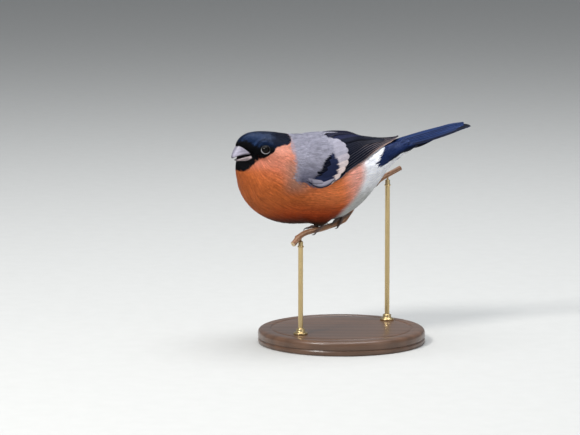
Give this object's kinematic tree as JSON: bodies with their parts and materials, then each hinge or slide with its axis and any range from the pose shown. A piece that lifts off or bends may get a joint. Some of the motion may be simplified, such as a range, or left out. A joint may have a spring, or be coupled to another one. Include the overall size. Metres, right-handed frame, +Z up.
{
  "type": "bullfinch",
  "caption": "Perched adult male bullfinch as a still, life-size model on a cut length of stem, held over a round base by slim rods.",
  "frame": {"origin": "centre of the underside of the stand's round base", "axes": "+Z up, the bird's bill towards -X and its tail towards +X, its left side towards -Y"},
  "size_m": [0.1478, 0.104, 0.1356],
  "materials": {
    "black_plumage": "glossy blue-black feathers",
    "rose_plumage": "soft rosy orange-red feathers",
    "flight_feathers": "black vanes with a violet-blue gloss",
    "bill_horn": "satin dark grey horn",
    "eye": "polished, nearly black brown",
    "leg_skin": "scaled, dark brown",
    "bark": "matt brown bark with pale streaks",
    "base_wood": "turned, oiled dark wood",
    "rod_metal": "brushed"
  },
  "bodies": {
    "root": {"head": "black_plumage", "neck": "rose_plumage", "trunk": "rose_plumage", "leg_left": "rose_plumage", "leg_right": "rose_plumage", "wing_left": "flight_feathers", "wing_right": "flight_feathers", "tail": "flight_feathers", "bill_upper": "bill_horn", "bill_lower": "bill_horn", "eye_left": "eye", "eye_right": "eye", "foot_left": "leg_skin", "foot_right": "leg_skin", "perch": "bark", "stand_base": "base_wood", "stand_rod_front": "rod_metal", "stand_rod_back": "rod_metal"}
  },
  "joints": []
}
